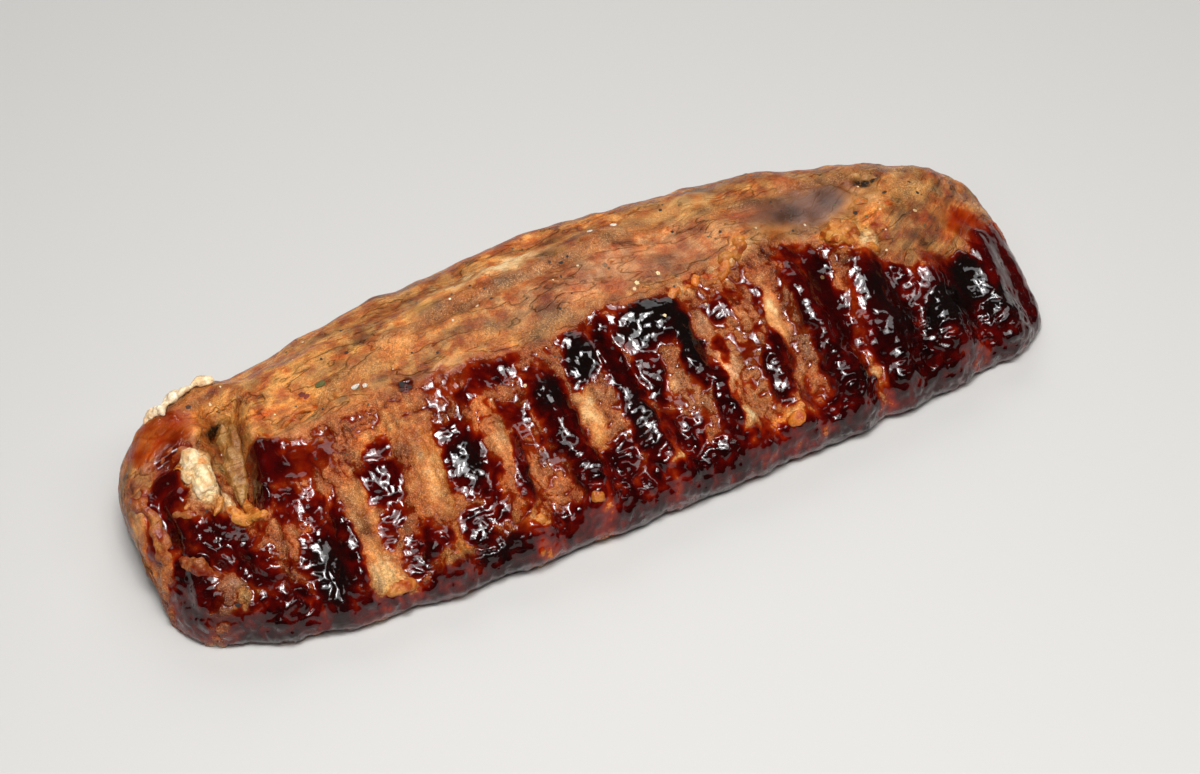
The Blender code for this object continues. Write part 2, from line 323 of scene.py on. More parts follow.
# Torn shreds in bundles, each laid from one place to another: x, y, x, y, spread, count, length, radius,
# turn from that line in degrees, lift, wetness, colour.
SHREDS = {
    "torn_pale_meat": [
        (-147, 11, -142, -6, 2.6, 11, 9, 2.5, 14, -0.5, -1.0, "#f4dbac"),
        (-148, 12, -141, -8, 3.6, 12, 6, 1.1, 22, 0.9, -1.0, "#fbe9c6"),
        (-141, -6, -132, -17, 1.8, 8, 9, 1.9, 12, 0.0, -0.4, "#dca252"),
        (-134, -4, -130, -18, 1.0, 3, 14, 1.5, 6, 0.8, -0.2, "#d08b3c"),
    ],
    "tendon_strap_and_shade": [
        (-129, 21, -133, 1, 1.3, 6, 21, 3.4, 3, 2.0, -0.7, "#ad8850"),
        # painted shade: a darker, lower strand along the strap's side
        (-126.5, 19, -129.5, 2, 0.6, 2, 16, 2.0, 4, 1.0, -0.5, "#96703a"),
    ],
    "fat_fringe": [
        (-153, 36, -138, 41, 1.8, 34, 5, 1.5, 50, 1.3, -1.0, "#fbf0da"),
        (-138, 41, -126, 42, 1.5, 20, 5, 1.4, 50, 1.8, -1.0, "#f8e6c4"),
    ],
    "left_edge_folds": [
        (-164, 11, -165, -14, 1.6, 10, 9, 2.6, 22, -1.2, 0.1, "#a9652c"),
        (-159, -3, -152, -6, 2.0, 3, 7, 2.2, 30, -0.9, 0.0, "#b8803c"),
        (-160, -18, -155, -28, 1.8, 5, 8, 2.6, 25, -1.3, 0.1, "#b07038"),
        (-158, 17, -145, 20, 1.4, 4, 9, 2.2, 12, -1.0, 0.1, "#a86c44"),
    ],
    "loin_edge_shreds": [
        (-120, 11, -84, 12, 1.0, 9, 13, 1.3, 7, -0.7, -0.4, "#b98545"),
        (34, -3, 58, -2, 1.8, 9, 7, 2.0, 25, -1.0, 0.0, "#d29042"),
        (58, 0, 66, 3, 1.5, 4, 6, 2.0, 30, -1.0, 0.0, "#d8903a"),
        (99, -3, 104, -11, 2.4, 6, 8, 2.8, 25, -1.2, 0.0, "#c98c40"),
        (106, -12, 112, -15, 1.2, 3, 7, 1.9, 15, -0.8, 0.0, "#d29a48"),
        (116, 4, 127, 1, 2.2, 5, 6, 2.2, 30, -1.3, 0.0, "#d08c3a"),
        (123, 18, 132, 15, 1.2, 5, 5, 1.4, 20, -0.4, -0.5, "#b8905c"),
    ],
    "rib_tips": [
        (-102, -52, -95, -52, 0.8, 3, 6, 2.4, 20, -1.4, 0.0, "#c8924c"),
        (-80, -53, -75, -53, 0.8, 2, 5, 2.2, 20, -1.4, 0.1, "#cc8a3c"),
        (-49, -55, -43, -55, 0.8, 2, 5, 2.2, 20, -1.4, 0.1, "#d0903a"),
        (-26, -56, -20, -56, 0.8, 2, 5, 2.2, 20, -1.4, 0.1, "#d08c38"),
        (54, -55, 59, -56, 1.2, 4, 6, 2.6, 20, -1.4, 0.0, "#dc9232"),
    ],
}

# Places where the glaze or the skin lies smooth, and how smooth.
SMOOTH = [
    (96, 10, 26, 11, -4, 1.0),
    (162, -28, 14, 20, 0, 0.6),
    (-122, 1, 10, 7, 85, 0.8),
    (-51, -1, 13, 6, 0, 0.7),
    (-150, 28, 14, 9, 0, 0.7),
    (151, -13, 12, 8, 0, 0.7),
    (86, -24, 18, 4, 85, 0.6),
    (-112, -5, 12, 7, 0, 0.6),
    (-166, -3, 14, 5, 90, 0.5),
    (-40, 32, 16, 5, 6, 0.6),
    (-8, 34, 14, 5, 2, 0.6),
    (50, 32, 20, 6, 4, 0.5),
    (28, 12, 26, 7, 0, 0.4),
    (-73, -28, 19, 7, 75, 0.3),
    (-99, -34, 17, 6, 72, 0.25),
    (-13, -31, 10, 3, 88, 0.35),
    (-47, -29, 16, 4, 85, 0.2),
    (94, -36, 16, 2.5, 82, 0.4),
    (104, -34, 15, 7, 88, 0.45),
    (-116, -42, 10, 6, 80, 0.35),
    (140, -36, 14, 9, 0, 0.3),
    (65, -24, 12, 3, 84, 0.5),
]

# Bands of rough, crumbly crust across the smooth loin.
CRUST = [
    (-20, 24.5, 44, 3.2, 1, 1.0),
    (-68, 16, 14, 4, 12, 0.9),
    (30, 28, 26, 4.5, 8, 0.9),
    (-92, 14, 20, 3.5, 4, 0.7),
    (-10, 4, 22, 3, 0, 0.8),
    (-34, 9, 7, 3, 10, 0.9),
    (70, 22, 12, 5, -20, 0.7),
    (133, 4, 14, 6, 10, 0.8),
    (146, 18, 12, 5, 20, 0.8),
    (110, 20, 20, 3, -4, 0.8),
    (-140, 34, 10, 5, 20, 0.5),
]

# Sauce that only fills the pits, as its level against the meat's relief, over the base level.
FILM = [
    (-99, -34, 17, 8, 70, -0.7),
    (-73, -30, 18, 8, 75, -0.7),
    (-47, -28, 17, 6, 85, -0.6),
    (-13, -31, 11, 4, 88, -0.7),
    (40, -30, 14, 4, 88, -0.3),
    (64, -24, 13, 4, 80, -0.6),
    (94, -36, 17, 2.4, 82, -0.6),
    (-80, -8, 12, 7, 20, -0.5),
    (103, -7, 8, 8, 0, -0.5),
    (-145, 4, 12, 6, -75, -1.2),
    (-150, -34, 8, 5, 0, -0.3),
    (-166, -3, 15, 5, 90, -0.6),
    (128, -13, 12, 8, 0, -0.5),
    (122, -20, 9, 3, 90, -0.7),
    (-126, -54, 5, 6, 0, -1.5),
    (-99, -54, 8, 6, 0, -1.8),
    (-75, -56, 7, 6, 0, -1.8),
    (-46, -57, 6, 6, 0, -1.8),
    (-23, -58, 5, 5, 0, -1.8),
    (9, -56, 6, 5, 0, -1.5),
    (38, -56, 6, 6, 0, -1.6),
    (56, -57, 8, 6, 0, -2.0),
    (92, -56, 4, 6, 0, -1.6),
    (131, -54, 8, 5, 0, -1.4),
    (157, -44, 5, 5, 60, -1.4),
]

# The rib bones, which show as pale ridges underneath: spacing, and each one's shift and lean.
RIB_PITCH = 25.5
RIB_SHIFT = [0, -1.5, 0, 2, 2.5, 0, -1.5, 0, 0.5, 0, -1, -1, 0]
RIB_LEAN = [0.22, 0.22, 0.18, 0.08, 0, -0.1, -0.22, -0.28, -0.2, -0.1, 0, 0.06, 0.08]

# Pepper, herbs and crumbs that stuck to the glaze, and two white chips that are partly a fat bit and partly a
# painted glint: x, y, size, colour.
FLAKES = [
    (-93, 19, 2.2, "#5d5a2c"),
    (-100, 19, 1.6, "#7a2a16"),
    (-99, 17, 1.4, "#7a2a16"),
    # partly a white fat bit, partly a painted glint
    (-83, 11, 1.9, "#efe4d4"),
    (-80, 9, 1.2, "#e7d6c0"),
    (-68, 5, 1.4, "#1c120c"),
    (-66, 3, 1.5, "#2b1a10"),
    (-69, 3, 1.1, "#3c2314"),
    (24, 4, 1.3, "#e2c592"),
    (33, 5, 1.2, "#e2c592"),
    (22, 2, 0.9, "#e2c592"),
    (4, 24, 1.0, "#1c120c"),
    (7, 25, 0.8, "#1c120c"),
    (20, 33, 1.5, "#f0e2d2"),
    (30, 34, 1.7, "#f0e2d2"),
    (17, 15, 1.2, "#7a5a40"),
    (112, 0, 1.2, "#241610"),
    (128, 6, 1.3, "#3a2416"),
    (140, 2, 1.0, "#241610"),
    (134, -6, 1.1, "#cfae7c"),
    (-137, 33, 1.3, "#4a2c14"),
    (-150, -37, 1.2, "#1c120c"),
]
SPICE_COUNT = 130
SPICE_COLOURS = ["#241610", "#241610", "#3c2414", "#5d4420", "#55502a", "#dfc498", "#e6d3b2"]

# ---------------------------------------------------------------- noise and fields

GRADIENT_COUNT = 4096
_random = np.random.default_rng(11)
GRADIENTS = _random.normal(size=(GRADIENT_COUNT, 3))
GRADIENTS /= np.linalg.norm(GRADIENTS, axis=1)[:, None]


def noise(points, size, seed=0):
    """Smooth noise, roughly -1 to 1, at points in millimetres. size is that of one lump, or one per axis."""
    places = points / np.asarray(size, float) + 37.7 * seed
    cell = np.floor(places).astype(np.int64)
    inside = places - cell
    fade = inside**3 * (inside * (inside * 6.0 - 15.0) + 10.0)
    total = np.zeros(len(points))
    for corner in itertools.product((0, 1), repeat=3):
        corner = np.array(corner)
        key = (cell + corner) * (73856093, 19349663, 83492791)
        gradient = GRADIENTS[(key[:, 0] ^ key[:, 1] ^ key[:, 2]) % GRADIENT_COUNT]
        reach = np.prod(np.where(corner, fade, 1.0 - fade), axis=1)
        total += reach * np.sum(gradient * (inside - corner), axis=1)
    return 1.7 * total


def ramp(low, high, at):
    """0 below low and 1 above high, with a smooth rise between."""
    t = np.clip((at - low) / (high - low), 0.0, 1.0)
    return t * t * (3.0 - 2.0 * t)


def patch(points, row, soft):
    """How much of a patch each point has: 1 at its middle and 0 outside it."""
    cx, cy, half_length, half_width, turn = row[:5]
    c, s = math.cos(math.radians(turn)), math.sin(math.radians(turn))
    x, y = points[:, 0] - cx, points[:, 1] - cy
    away = np.hypot((x * c + y * s) / half_length, (-x * s + y * c) / half_width)
    return 1.0 - ramp(1.0 - soft, 1.0 + soft, away)


def flooded(points, base, rows, soft=0.4):
    """The base level raised to the rows' last values, each faded back to the base by its own patch."""
    level = base.copy()
    for row in rows:
        level = np.maximum(level, base + (row[5] - base) * patch(points, row, soft))
    return level


def strongest(points, rows, soft=0.4):
    """The largest of the rows' last values at each point, each faded by its own patch."""
    found = np.zeros(len(points))
    for row in rows:
        found = np.maximum(found, row[5] * patch(points, row, soft))
    return found


def summed(points, rows, soft=0.6):
    return sum(row[5] * patch(points, row, soft) for row in rows)


def warped(points, size, reach, seed):
    """The points pushed about sideways, so that patches and fibres get uneven outlines."""
    moved = points.copy()
    moved[:, 0] += reach * noise(points, size, seed)
    moved[:, 1] += reach * noise(points, size, seed + 1)
    return moved


# ---------------------------------------------------------------- mesh tools


def only(piece):
    """Selects one piece and makes it active."""
    bpy.ops.object.select_all(action="DESELECT")
    piece.select_set(True)
    bpy.context.view_layer.objects.active = piece


def finish_modifier(piece, kind, **settings):
    modifier = piece.modifiers.new(kind.title(), kind)
    for name, value in settings.items():
        setattr(modifier, name, value)
    only(piece)
    bpy.ops.object.modifier_apply(modifier=modifier.name)


def read(piece):
    """A mesh's points in millimetres and its vertex normals."""
    count = len(piece.data.vertices)
    points = np.empty(count * 3)
    piece.data.vertices.foreach_get("co", points)
    normals = np.empty(count * 3)
    piece.data.vertex_normals.foreach_get("vector", normals)
    return points.reshape(-1, 3) / MM, normals.reshape(-1, 3)


def write(piece, points):
    piece.data.vertices.foreach_set("co", (points * MM).ravel())
    piece.data.update()


def paint(piece, name, values):
    """Stores a number, or three, on each vertex."""
    kind = "FLOAT" if values.ndim == 1 else "FLOAT_VECTOR"
    layer = piece.data.attributes.new(name, kind, "POINT")
    layer.data.foreach_set("value" if kind == "FLOAT" else "vector", values.ravel())


# ---------------------------------------------------------------- materials


def srgb(code):
    """An sRGB hex colour as linear red, green, blue and alpha."""
    parts = [int(code[i : i + 2], 16) / 255 for i in (1, 3, 5)]
    return tuple(c / 12.92 if c <= 0.04045 else ((c + 0.055) / 1.055) ** 2.4 for c in parts) + (1.0,)


def node(tree, kind, inputs=None, output=0, **settings):
    """Adds a node and returns one of its outputs. Each input gets a value, or a link from another output."""
    made = tree.nodes.new(kind)
    for name, value in settings.items():
        setattr(made, name, value)
    for name, value in (inputs or {}).items():
        if isinstance(value, bpy.types.NodeSocket):
            tree.links.new(value, made.inputs[name])
        else:
            made.inputs[name].default_value = value
    return made.outputs[output]


MATH = "ShaderNodeMath"
NOISE = "ShaderNodeTexNoise"
ATTRIBUTE = "ShaderNodeAttribute"
VECTOR = "ShaderNodeVectorMath"
MAPPING = "ShaderNodeMapping"
MIX = "ShaderNodeMix"
RANGE = "ShaderNodeMapRange"


def glazed_meat():
    """Roasted pork under a sugary sauce: matt fibres where it is dry, and a dark wet gloss where sauce lies."""
    material = bpy.data.materials.new("glazed_roast_pork")
    material.use_nodes = True
    tree = material.node_tree
    shader = tree.nodes["Principled BSDF"]
    place = node(tree, "ShaderNodeTexCoord", output="Object")
    in_mm = node(tree, MAPPING, {"Vector": place, "Scale": (1000.0, 1000.0, 1000.0)})
    wet = node(tree, ATTRIBUTE, output="Fac", attribute_name="wet")
    char_and_shade = node(tree, ATTRIBUTE, output="Fac", attribute_name="char_and_shade")
    loin = node(tree, ATTRIBUTE, output="Fac", attribute_name="loin")
    smooth = node(tree, ATTRIBUTE, output="Fac", attribute_name="smooth")
    tone = node(tree, ATTRIBUTE, output="Vector", attribute_name="tone")
    along = node(tree, ATTRIBUTE, output="Vector", attribute_name="along_fibres")

    # Crumbs of crust about 1 mm across, and fibres about 1 mm wide and 8 mm long.
    grain = node(tree, NOISE, {"Vector": in_mm, "Scale": 0.9, "Detail": 4.0, "Roughness": 0.68})
    drawn_out = node(tree, MAPPING, {"Vector": along, "Scale": (0.3, 1.0, 1.0)})
    fibre = node(tree, NOISE, {"Vector": drawn_out, "Scale": 0.62, "Detail": 5.0, "Roughness": 0.72})
    seam = node(tree, NOISE, {"Vector": drawn_out, "Scale": 0.13, "Detail": 3.0, "Roughness": 0.55})
    seam = node(tree, MATH, {0: seam, 1: 0.5}, operation="SUBTRACT")
    seam = node(tree, MATH, {0: seam}, operation="ABSOLUTE")
    seam = node(tree, RANGE, {"Value": seam, "From Min": 0.0, "From Max": 0.014, "To Min": 1.0, "To Max": 0.0})
    speck = node(tree, NOISE, {"Vector": in_mm, "Scale": 2.2, "Detail": 1.0})
    mottle = node(tree, NOISE, {"Vector": in_mm, "Scale": 0.16, "Detail": 4.0, "Roughness": 0.6})
    ripple = node(tree, NOISE, {"Vector": in_mm, "Scale": 0.24, "Detail": 0.0})

    # The skin on the sauce: flat patches about 4 mm across, each tipped its own way.
    wander = node(tree, NOISE, {"Vector": in_mm, "Scale": 0.35, "Detail": 0.0}, output=1)
    pushed = node(tree, VECTOR, {0: wander, 1: (2.0, 2.0, 2.0), 2: in_mm}, operation="MULTIPLY_ADD")
    tip = node(tree, "ShaderNodeTexVoronoi", {"Vector": pushed, "Scale": 0.25}, output="Color", feature="F1")
    off_middle = node(tree, VECTOR, {0: pushed, 1: tip.node.outputs["Position"]}, operation="SUBTRACT")
    tip = node(tree, VECTOR, {0: tip, 1: (0.5, 0.5, 0.5)}, operation="SUBTRACT")
    patches = node(tree, VECTOR, {0: tip, 1: off_middle}, output="Value", operation="DOT_PRODUCT")
    relief = node(tree, MIX, {"Factor": loin, "A": grain, "B": fibre}, data_type="FLOAT")

    # Depth of sauce in millimetres, broken up by bumps too fine for the mesh.
    bump_depth = node(tree, MIX, {"Factor": loin, "A": 2.6, "B": 1.0}, data_type="FLOAT")
    shallow = node(tree, RANGE, {"Value": wet, "From Min": 0.0, "From Max": 0.8, "To Min": 1.0, "To Max": 0.0})
    bump_depth = node(tree, MATH, {0: bump_depth, 1: shallow}, operation="MULTIPLY")
    clumps = node(tree, RANGE, {"Value": mottle, "From Min": 0.35, "From Max": 0.65, "To Min": 0.4, "To Max": 1.3})
    bump_depth = node(tree, MATH, {0: bump_depth, 1: clumps}, operation="MULTIPLY")
    coarse = node(tree, RANGE, {"Value": smooth, "To Min": 1.0, "To Max": 0.2})
    bump_depth = node(tree, MATH, {0: bump_depth, 1: coarse}, operation="MULTIPLY")
    above = node(tree, MATH, {0: relief, 1: 0.5}, operation="SUBTRACT")
    above = node(tree, MATH, {0: above, 1: bump_depth}, operation="MULTIPLY")
    depth = node(tree, MATH, {0: wet, 1: above}, operation="SUBTRACT")
    feather = node(tree, MATH, {0: loin, 1: 0.7, 2: 0.14}, operation="MULTIPLY_ADD")
    cover = node(tree, RANGE, {"Value": depth, "From Min": 0.0, "From Max": feather})
    depth = node(tree, MATH, {0: depth, 1: 0.0}, operation="MAXIMUM")
    depth = node(tree, MATH, {0: cover, 1: 0.35, 2: depth}, operation="MULTIPLY_ADD")
    basted = node(tree, RANGE, {"Value": mottle, "From Min": 0.42, "From Max": 0.68, "To Max": 0.7})
    basted = node(tree, MATH, {0: basted, 1: coarse}, operation="MULTIPLY")
    depth = node(tree, MATH, {0: basted, 1: loin, 2: depth}, operation="MULTIPLY_ADD")
    shore = node(tree, RANGE, {"Value": wet, "From Min": -1.5, "From Max": 0.0, "To Max": 0.5})
    crusty = node(tree, MATH, {0: 1.0, 1: loin}, operation="SUBTRACT")
    depth = node(tree, MATH, {0: shore, 1: crusty, 2: depth}, operation="MULTIPLY_ADD")

    # Meat colour, lighter on the crumbs, fibres and specks and darker in the hollows and seams between them: partly
    # the crust's own colour, partly painted shade.
    shade = node(tree, RANGE, {"Value": grain, "From Min": 0.3, "From Max": 0.7, "To Min": 0.45, "To Max": 1.6})
    calm = node(tree, RANGE, {"Value": fibre, "From Min": 0.3, "From Max": 0.7, "To Min": 0.5, "To Max": 1.5})
    seam_shade = node(tree, MATH, {0: seam, 1: -0.45, 2: 1.0}, operation="MULTIPLY_ADD")
    calm = node(tree, MATH, {0: calm, 1: seam_shade}, operation="MULTIPLY")
    shade = node(tree, MIX, {"Factor": loin, "A": shade, "B": calm}, data_type="FLOAT")
    shade2 = node(tree, RANGE, {"Value": speck, "From Min": 0.3, "From Max": 0.7, "To Min": 0.75, "To Max": 1.25})
    shade = node(tree, MATH, {0: shade, 1: shade2}, operation="MULTIPLY")
    even = node(tree, MATH, {0: smooth, 1: 0.8}, operation="MULTIPLY")
    shade = node(tree, MIX, {"Factor": even, "A": shade, "B": 1.0}, data_type="FLOAT")
    shade = node(tree, MIX, {"Factor": cover, "A": shade, "B": 1.05}, data_type="FLOAT")
    meat = node(tree, VECTOR, {0: tone, "Scale": shade}, operation="SCALE")
    crumbs = node(tree, RANGE, {"Value": speck, "From Min": 0.6, "From Max": 0.68, "To Max": 0.55})
    crumbs = node(tree, MATH, {0: crumbs, 1: crusty}, operation="MULTIPLY")
    meat = node(tree, MIX, {"Factor": crumbs, 6: meat, 7: srgb("#e9c596")}, output=2, data_type="RGBA")

    # The sauce swallows blue and green before red, so it runs from amber to near black as it deepens.
    red = node(tree, MATH, {0: math.exp(-0.8), 1: depth}, operation="POWER")
    green = node(tree, MATH, {0: math.exp(-2.2), 1: depth}, operation="POWER")
    blue = node(tree, MATH, {0: math.exp(-3.8), 1: depth}, operation="POWER")
    stain = node(tree, "ShaderNodeCombineXYZ", {"X": red, "Y": green, "Z": blue})
    seen = node(tree, VECTOR, {0: meat, 1: stain}, operation="MULTIPLY")
    # Near black where the fire blackened the meat, and as painted shade in a few pits and gaps.
    burnt_and_shade = node(tree, RANGE, {"Value": grain, "From Min": 0.3, "From Max": 0.6, "To Min": 0.4, "To Max": 1.6})
    burnt_and_shade = node(tree, MATH, {0: char_and_shade, 1: burnt_and_shade}, operation="MULTIPLY", use_clamp=True)
    colour = node(tree, MIX, {"Factor": burnt_and_shade, 6: seen, 7: srgb("#0c0605")}, output=2, data_type="RGBA")
    tree.links.new(colour, shader.inputs["Base Color"])

    dry_rough = node(tree, MIX, {"Factor": loin, "A": 0.17, "B": 0.26}, data_type="FLOAT")
    dry_rough = node(tree, MIX, {"Factor": smooth, "A": dry_rough, "B": 0.2}, data_type="FLOAT")
    rough = node(tree, MIX, {"Factor": cover, "A": dry_rough, "B": 0.07}, data_type="FLOAT")
    tree.links.new(rough, shader.inputs["Roughness"])
    shader.inputs["IOR"].default_value = 1.47
    shader.inputs["Subsurface Weight"].default_value = 0.08
    shader.inputs["Subsurface Radius"].default_value = (1.0, 0.35, 0.15)
    shader.inputs["Subsurface Scale"].default_value = 2.0 * MM

    # Relief finer than the mesh: crumbs and fibres where dry, slow ripples where sauce lies.
    height_dry = node(tree, MATH, {0: relief, 1: 0.9}, operation="MULTIPLY")
    height_fine = node(tree, MATH, {0: speck, 1: 0.42, 2: height_dry}, operation="MULTIPLY_ADD")
    sunk = node(tree, MATH, {0: seam, 1: loin}, operation="MULTIPLY")
    height_fine = node(tree, MATH, {0: sunk, 1: -0.5, 2: height_fine}, operation="MULTIPLY_ADD")
    height_wet = node(tree, MATH, {0: ripple, 1: 0.5}, operation="MULTIPLY")
    height_wet = node(tree, MATH, {0: patches, 1: 0.22, 2: height_wet}, operation="MULTIPLY_ADD")
    height = node(tree, MIX, {"Factor": cover, "A": height_fine, "B": height_wet}, data_type="FLOAT")
    uneven = node(tree, RANGE, {"Value": smooth, "To Min": 1.0, "To Max": 0.15})
    height = node(tree, MATH, {0: height, 1: uneven}, operation="MULTIPLY")
    bump = node(tree, "ShaderNodeBump", {"Height": height, "Distance": MM, "Strength": 1.0})
    tree.links.new(bump, shader.inputs["Normal"])
    return material


# Also shades the two white chips that are partly a painted glint.
def cracked_pepper():
    """Dry pepper, herbs and crumbs: dull and speckled, with a little shine on some faces."""
    material = bpy.data.materials.new("cracked_pepper_crumbs_and_glints")
    material.use_nodes = True
    tree = material.node_tree
    shader = tree.nodes["Principled BSDF"]
    place = node(tree, "ShaderNodeTexCoord", output="Object")
    in_mm = node(tree, MAPPING, {"Vector": place, "Scale": (1000.0, 1000.0, 1000.0)})
    tone = node(tree, ATTRIBUTE, output="Vector", attribute_name="tone")
    # Broken faces of a grain, a third of a millimetre across.
    facet = node(tree, NOISE, {"Vector": in_mm, "Scale": 3.0, "Detail": 2.0})
    shade = node(tree, RANGE, {"Value": facet, "From Min": 0.3, "From Max": 0.7, "To Min": 0.5, "To Max": 1.5})
    tree.links.new(node(tree, VECTOR, {0: tone, "Scale": shade}, operation="SCALE"), shader.inputs["Base Color"])
    rough = node(tree, RANGE, {"Value": facet, "From Min": 0.3, "From Max": 0.7, "To Min": 0.5, "To Max": 0.8})
    tree.links.new(rough, shader.inputs["Roughness"])
    bump = node(tree, "ShaderNodeBump", {"Height": facet, "Distance": 0.3 * MM, "Strength": 1.0})
    tree.links.new(bump, shader.inputs["Normal"])
    return material


def painted_floor():
    """A smooth pale studio floor."""
    material = bpy.data.materials.new("matt_white_board")
    material.use_nodes = True
    shader = material.node_tree.nodes["Principled BSDF"]
    shader.inputs["Base Color"].default_value = srgb("#c8c6c3")
    shader.inputs["Roughness"].default_value = 0.7
    return material


# ---------------------------------------------------------------- the rack


def blank_rack():
    """A copy of the frame's solid, with its loose triangles joined, turned to quads and refined.

    The rib side and the left end get the finest mesh, and the underside the coarsest.
    """
    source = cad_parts[RACK]
    piece = source.copy()
    piece.data = source.data.copy()
    piece.name = "glazed_rack"
    piece.parent = None
    bpy.context.scene.collection.objects.link(piece)
    piece.data.materials.clear()
    only(piece)
    bpy.ops.object.mode_set(mode="EDIT")
    bpy.ops.mesh.select_all(action="SELECT")
    bpy.ops.mesh.remove_doubles(threshold=1e-6)
    bpy.ops.mesh.tris_convert_to_quads()
    bpy.ops.object.mode_set(mode="OBJECT")
    finish_modifier(piece, "SUBSURF", levels=1, render_levels=1)
    for cuts, rib_side in ((2, True), (1, False)):
        bpy.ops.object.mode_set(mode="EDIT")
        bpy.ops.mesh.select_all(action="DESELECT")
        bpy.ops.object.mode_set(mode="OBJECT")
        for face in piece.data.polygons:
            x, y, _ = face.center / MM
            on_rib_side = face.normal.z > 0.05 and (y < 6.0 or x < -120.0)
            face.select = on_rib_side if rib_side else face.normal.z > -0.2 and not on_rib_side
        bpy.ops.object.mode_set(mode="EDIT")
        bpy.ops.mesh.subdivide(number_cuts=cuts)
        bpy.ops.object.mode_set(mode="OBJECT")
    return piece


def loin_share(points):
    """1 on the loin and 0 on the rib side."""
    places, heights = zip(*LOIN_LINE)
    line = np.interp(points[:, 0], places, heights) + 3.0 * noise(points, 9.0, 3)
    return ramp(-2.5, 2.5, points[:, 1] - line)


def fibre_places(points):
    """Coordinates that follow the fibres of the loin, for noise drawn out along them."""
    places, shifts = zip(*FIBRE_BEND)
    bent = warped(points, 24.0, 3.5, 20)
    bent[:, 1] -= np.interp(points[:, 0], places, shifts)
    return bent


def meat_relief(points, along, loin):
    """Height of the meat's own texture in millimetres."""
    fibres = 0.26 * noise(along, (13.0, 3.6, 3.6), 4) + 0.2 * noise(along, (5.0, 2.2, 2.2), 5)
    torn = ramp(-0.1, 0.3, noise(points, 26.0, 22))
    fibres -= 0.6 * torn * ramp(0.05, 0.0, np.abs(noise(along, (30.0, 10.0, 10.0), 16)))
    fibres -= 0.4 * torn * ramp(0.05, 0.0, np.abs(noise(along, (14.0, 6.0, 6.0), 18)))
    crust = 0.7 * noise(points, 3.6, 6) + 0.6 * noise(points, 1.9, 7)
    crust -= 0.8 * ramp(0.16, 0.0, np.abs(noise(points, 7.0, 17)))
    crust += 0.6 * noise(points, (3.2, 12.0, 8.0), 19)
    broad = 0.7 * noise(points, 10.0, 8) + 0.25 * noise(points, 5.5, 13)
    return broad + loin * fibres + (1.0 - loin) * crust


def bone_share(points):
    """1 along the middle of each rib bone and 0 between them."""
    found = np.zeros(len(points))
    for number, (shift, lean) in enumerate(zip(RIB_SHIFT, RIB_LEAN)):
        line = (number - 6) * RIB_PITCH + shift + lean * (points[:, 1] + 15.0)
        found = np.maximum(found, np.exp(-(((points[:, 0] - line) / 4.6) ** 2)))
    return found * ramp(20.0, 4.0, points[:, 1]) * ramp(-61.0, -57.0, points[:, 1])


def meat_tone(points, uneven, along, loin, fat):
    """The meat's colour at each point, before sauce and blackening: mostly its own, with painted shade, sheen and
    reflection in a few rows of TONES.
    """
    tan = np.array(srgb("#be8040")[:3])
    brown = np.array(srgb("#a0643a")[:3])
    cream = np.array(srgb("#f5d29c")[:3])
    tone = brown + loin[:, None] * (tan - brown)
    for row in TONES:
        share = row[5] * patch(uneven, row, 0.6)
        tone = tone + share[:, None] * (np.array(srgb(row[6])[:3]) - tone)
    blotch = 1.0 + 0.36 * noise(points, 13.0, 10) + 0.3 * noise(points, 5.0, 11)
    blotch += 0.55 * noise(along, (18.0, 5.0, 6.0), 9) * loin
    blotch += 0.4 * noise(points, (2.6, 11.0, 8.0), 21) * (1.0 - loin)
    tone = tone * np.clip(blotch * (1.14 - 0.27 * loin), 0.35, 2.2)[:, None]
    warm = np.array([1.0, 0.9, 0.72]) - 1.0
    tone = tone * (1.0 + np.clip(noise(points, 17.0, 12) + 0.2, 0.0, 1.0)[:, None] * warm)
    return tone + np.clip(fat, 0, 1)[:, None] * (cream - tone)


